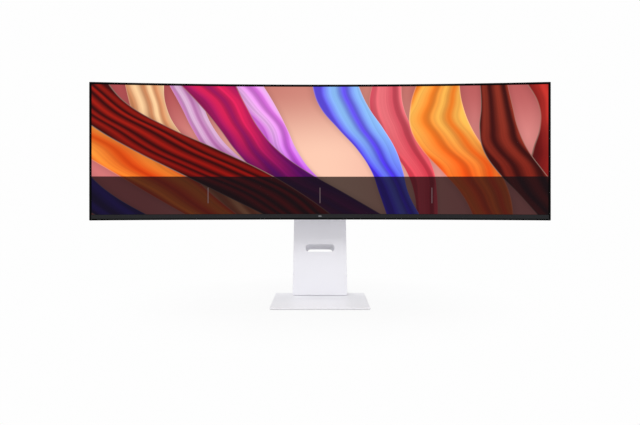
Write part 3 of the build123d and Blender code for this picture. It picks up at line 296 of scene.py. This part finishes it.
def cone_paper(name):
    """Coated paper of the speaker cones, with pressed fibres."""
    graph = Graph(name)
    fibres = graph.noise(1.0, 6.0, 0.75, graph.stretch(400.0, 400.0, 1600.0))
    return graph.surface(
        Base_Color=graph.mix(fibres, (0.02, 0.02, 0.022), (0.06, 0.058, 0.055)),
        Roughness=graph.spread(fibres, 0.6, 0.85),
        Normal=graph.bump(fibres, 0.0001),
    )


# ---------------------------------------------------------------- picture on the screen

glass_low, glass_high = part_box("lcd_panel")
dark_margin = 0.001             # dark edge of the panel at its sides and top
picture_half = glass_high.x - dark_margin
picture_low = glass_low.z
picture_high = glass_high.z - dark_margin


class Picture:
    """Abstract picture in screen shares: u from left to right and v from bottom to top, both 0 to 1."""

    def __init__(self, graph):
        self.graph = graph
        place = graph.axes()
        self.u = graph.remap(place["X"], -picture_half, picture_half)
        self.v = graph.remap(place["Z"], picture_low, picture_high)
        self.colour = None
        self.layers = 0

    def lay(self, mask, colour, opacity=1.0):
        """Puts a colour over what is there."""
        self.colour = self.graph.mix(self.graph.math("MULTIPLY", mask, opacity), self.colour, colour)

    def ribbon(self, start, slant, width, folds, light, dark, foot):
        """One silk ribbon: it hangs from `start` on the top edge and drifts to the right on its way down."""
        graph = self.graph
        self.layers += 1
        seed = 3.7 * self.layers        # gives each ribbon its own stretch of noise

        # Left and right edge, from a centre line with a gentle wave and a width that swells and narrows.
        low, high = [], []
        knots = 7
        for step in range(knots):
            v = step / (knots - 1)
            sway = 0.015 * math.sin(6.3 * v + 9.0 * start)
            centre = start + slant * (1.0 - v) ** 1.25 + sway
            half = 0.5 * width * (0.8 + 0.2 * math.sin(4.7 * v + 7.0 * start))
            low.append((v, centre - half))
            high.append((v, centre + half))
        low_edge = graph.curve(self.v, low)
        span = graph.math("SUBTRACT", graph.curve(self.v, high), low_edge)
        share = graph.math("DIVIDE", graph.math("SUBTRACT", self.u, low_edge), span)
        distance = graph.math("ABSOLUTE", graph.math("MULTIPLY_ADD", share, 2.0, -1.0))

        # Soft shadow that the ribbon casts on the ones below it.
        self.lay(graph.remap(distance, 1.4, 0.8, smooth=True), srgb(70, 20, 30), 0.22)

        # Light and dark folds over the width, bent by a slow noise, then streaks that run along the cloth.
        slow = graph.line_noise(graph.math("MULTIPLY_ADD", self.v, 2.2, seed), 1.0)
        bent = graph.math("MULTIPLY_ADD", graph.math("SUBTRACT", slow, 0.5), 0.5, share)
        fold_places = [(n + 0.3 * math.sin(5.0 * n + seed)) / folds for n in range(folds + 1)]
        stops = [(place, srgb(*(light if n % 2 else dark))) for n, place in enumerate(fold_places)]
        length = graph.ramp(self.v, [(0.2, srgb(*foot)), (0.8, (1.0, 1.0, 1.0))])
        colour = graph.mix(1.0, graph.ramp(bent, stops), length, "MULTIPLY")
        fine = graph.line_noise(graph.math("MULTIPLY_ADD", bent, 5.0, seed), 3.0)
        colour = graph.scale(colour, graph.spread(fine, 0.8, 1.2))
        rim = graph.remap(distance, 0.93, 0.99, 0.0, 0.25, smooth=True)
        colour = graph.mix(rim, colour, srgb(255, 214, 196))
        self.lay(graph.remap(distance, 1.0, 0.985, smooth=True), colour)


# Ribbons from the lowest to the uppermost. A row holds the start on the top edge, the slant, the width, the
# number of folds, the light colour, the dark colour and the tint at the foot.
RIBBONS = (
    (0.10, 0.21, 0.13, 5, (250, 206, 156), (206, 136, 92), (240, 200, 190)),
    (0.18, 0.26, 0.08, 3, (226, 186, 220), (190, 120, 178), (240, 200, 240)),
    (0.325, 0.23, 0.10, 3, (240, 180, 240), (214, 110, 218), (220, 150, 255)),
    (0.24, 0.31, 0.15, 4, (226, 32, 90), (150, 18, 86), (110, 90, 255)),
    (-0.13, 0.40, 0.18, 4, (252, 170, 70), (214, 84, 14), (255, 190, 150)),
    (-0.02, 0.47, 0.20, 10, (150, 22, 8), (60, 2, 2), (230, 170, 170)),
    (-0.28, 0.35, 0.18, 4, (70, 56, 150), (40, 34, 100), (200, 180, 255)),
    (0.655, 0.09, 0.08, 3, (240, 116, 124), (206, 74, 90), (255, 180, 200)),
    (0.55, 0.15, 0.11, 3, (140, 190, 248), (98, 78, 230), (190, 150, 255)),
    (0.755, 0.12, 0.14, 5, (254, 182, 80), (236, 124, 34), (255, 160, 120)),
    (1.01, 0.08, 0.18, 4, (190, 46, 38), (110, 16, 16), (220, 180, 180)),
    (0.87, 0.13, 0.10, 5, (140, 46, 30), (64, 10, 8), (230, 190, 180)),
)


def wallpaper(graph):
    """Silk ribbons on a peach ground, with a darker bar along the bottom."""
    picture = Picture(graph)
    peach_middle = graph.ramp(picture.u, tones(
        (0.1, 215, 120, 120), (0.5, 255, 205, 180), (0.85, 230, 145, 140),
    ))
    dusky_top = graph.ramp(picture.v, tones((0.45, 255, 255, 255), (1.0, 210, 170, 175)))
    picture.colour = graph.mix(1.0, peach_middle, dusky_top, "MULTIPLY")
    for row in RIBBONS:
        picture.ribbon(*row)

    # Darker bar along the bottom with three thin dividers.
    bar_top = 0.292
    divider_half_width = 0.0006
    divider_half_height = 0.06
    picture.lay(graph.remap(picture.v, bar_top + 0.003, bar_top, smooth=True), srgb(14, 6, 10), 0.9)
    tall = graph.remap(graph.gap(picture.v, bar_top / 2), divider_half_height + 0.002, divider_half_height)
    for divider in (0.25, 0.5, 0.75):
        thin = graph.remap(graph.gap(picture.u, divider), 2 * divider_half_width, divider_half_width)
        picture.lay(graph.math("MULTIPLY", thin, tall), srgb(120, 100, 104), 0.7)
    return picture


def screen_material(name):
    """Lit picture behind anti-glare glass; the panel's edges and back stay dark."""
    graph = Graph(name)
    picture = wallpaper(graph)
    facing = graph.add("ShaderNodeNewGeometry").outputs["Normal"]
    front = graph.remap(graph.axes(facing)["Y"], -0.5, -0.6)
    within_sides = graph.remap(graph.gap(picture.u, 0.5), 0.5, 0.4999)
    within_height = graph.remap(graph.gap(picture.v, 0.5), 0.5, 0.4998)
    lit = graph.math("MULTIPLY", graph.math("MULTIPLY", within_sides, within_height), front)
    sparkle = graph.noise(2500.0, 2.0)
    return graph.surface(
        Base_Color=(0.002, 0.002, 0.0025),
        Roughness=graph.spread(sparkle, 0.32, 0.4),
        Specular_IOR_Level=0.04,
        Emission_Color=picture.colour,
        Emission_Strength=lit,
        Normal=graph.bump(sparkle, 0.00001),
    )


# ---------------------------------------------------------------- materials on the CAD nodes

WHITE = (0.85, 0.845, 0.885)
materials = {
    "gloss_black_plastic": moulded_plastic(
        "frame_black", (0.0025, 0.0025, 0.0027), 0.6, grain_height=0.000002, specular=0.02),
    "dark_grey_plastic": moulded_plastic(
        "chin_grey", srgb(32, 32, 34), 0.55, grain_height=0.000006, specular=0.12),
    "badge_metal": brushed_metal("badge_satin", (0.22, 0.225, 0.235), 0.5, (1500.0, 1500.0, 60.0)),
    "screen": screen_material("screen_picture"),
    "white_plastic": moulded_plastic("white_plastic", WHITE, 0.48),
    "white_metal": powder_coat("white_powder_coat", (0.84, 0.835, 0.865)),
    "steel": brushed_metal("zinc_steel", (0.58, 0.59, 0.62)),
    "cast_aluminium": cast_metal("cast_aluminium", (0.62, 0.63, 0.65)),
    "black_plastic": moulded_plastic("black_plastic", (0.02, 0.02, 0.022), 0.5, 1200.0, 0.00003, 0.4),
    "film": optical_film("optical_film"),
    "circuit_board": circuit_board("circuit_board"),
    "rubber": rubber("pad_rubber"),
    "bearing_plastic": moulded_plastic("bearing_plastic", (0.72, 0.7, 0.64), 0.35),
}
spring_steel = brushed_metal("spring_steel", (0.3, 0.32, 0.38), 0.28)
own_materials = {
    "panel_cables": flex_film("flex_film"),
    "speaker_cones": cone_paper("cone_paper"),
    "spring_coils": spring_steel,
    "spring_tapes": spring_steel,
}
for entry in frame["record"]["subparts"]:
    mesh = frame["nodes"][entry["node"]].data
    mesh.materials.clear()
    mesh.materials.append(own_materials.get(entry["node"], materials[entry["material_slot"]]))

# ---------------------------------------------------------------- studio


def soft_light(name, place, target, size, power):
    data = bpy.data.lights.new(name, "AREA")
    data.shape = "RECTANGLE"
    data.size, data.size_y = size
    data.energy = power
    lamp = bpy.data.objects.new(name, data)
    bpy.context.scene.collection.objects.link(lamp)
    lamp.location = place
    lamp.rotation_euler = (Vector(target) - Vector(place)).to_track_quat("-Z", "Y").to_euler()


soft_light("key", (-0.8, -2.6, 2.3), (0, 0, 0.15), (2.6, 1.4), 50)
soft_light("fill", (1.6, -2.4, 0.9), (0, 0, 0.1), (1.8, 1.2), 10)
soft_light("top", (0, 0.3, 2.8), (0, 0.1, 0), (3.0, 2.0), 26)
soft_light("back_left", (-2.2, 2.4, 1.8), (0, 0, 0.4), (1.4, 1.4), 14)
soft_light("back_right", (2.6, 1.8, 1.2), (0, 0, 0.4), (1.0, 1.4), 8)

STUDIO_WHITE = 0.99             # what the camera sees around the monitor
AMBIENT = 0.58                  # what lights the monitor from all sides

world = bpy.data.worlds.new("studio")
bpy.context.scene.world = world
world.use_nodes = True
tree = world.node_tree
tree.nodes.clear()
background = tree.nodes.new("ShaderNodeBackground")
output = tree.nodes.new("ShaderNodeOutputWorld")
ray = tree.nodes.new("ShaderNodeLightPath")
level = tree.nodes.new("ShaderNodeMapRange")
level.inputs["To Min"].default_value = AMBIENT
level.inputs["To Max"].default_value = STUDIO_WHITE
tree.links.new(ray.outputs["Is Camera Ray"], level.inputs["Value"])
tree.links.new(level.outputs[0], background.inputs["Strength"])
background.inputs["Color"].default_value = (1.0, 1.0, 1.0, 1.0)
tree.links.new(background.outputs[0], output.inputs[0])


def floor_plane():
    """A plain white desk surface that fades into the white background."""
    mesh = bpy.data.meshes.new("floor")
    reach = 12.0
    corners = [(-reach, -reach, 0), (reach, -reach, 0), (reach, reach, 0), (-reach, reach, 0)]
    mesh.from_pydata(corners, [], [(0, 1, 2, 3)])
    floor = bpy.data.objects.new("floor", mesh)
    bpy.context.scene.collection.objects.link(floor)
    graph = Graph("floor_white")
    tone = graph.mix(graph.noise(3.0), (0.69, 0.69, 0.69), (0.71, 0.71, 0.71))
    matt = graph.add("ShaderNodeBsdfDiffuse")
    graph.set(matt.inputs["Color"], tone)
    glow = graph.add("ShaderNodeEmission")
    glow.inputs["Strength"].default_value = STUDIO_WHITE
    away = graph.add("ShaderNodeVectorMath", operation="LENGTH")
    graph.set(away.inputs[0], graph.place())
    fade = graph.remap(away.outputs["Value"], 0.15, 0.6, 0.9, 1.0, smooth=True)
    seen = graph.math("MULTIPLY", fade, graph.add("ShaderNodeLightPath").outputs["Is Camera Ray"])
    blend = graph.add("ShaderNodeMixShader")
    graph.set(blend.inputs[0], seen)
    graph.tree.links.new(matt.outputs[0], blend.inputs[1])
    graph.tree.links.new(glow.outputs[0], blend.inputs[2])
    graph.tree.links.new(blend.outputs[0], graph.output.inputs[0])
    mesh.materials.append(graph.material)


floor_plane()

bpy.context.scene.view_settings.view_transform = "Standard"

CAMERA_DISTANCE = 1.869         # in front of the middle of the stand
CAMERA_HEIGHT = 0.3184          # above the desk, a little below the middle of the screen

camera_data = bpy.data.cameras.new("camera")
camera_data.lens = 38.13
camera_data.sensor_width = 36.0
camera_data.shift_y = -0.0403
camera_data.clip_end = 50.0
camera = bpy.data.objects.new("camera", camera_data)
camera.location = (0.0, -CAMERA_DISTANCE, CAMERA_HEIGHT)
camera.rotation_euler = (math.pi / 2, 0.0, 0.0)
bpy.context.scene.collection.objects.link(camera)
bpy.context.scene.camera = camera
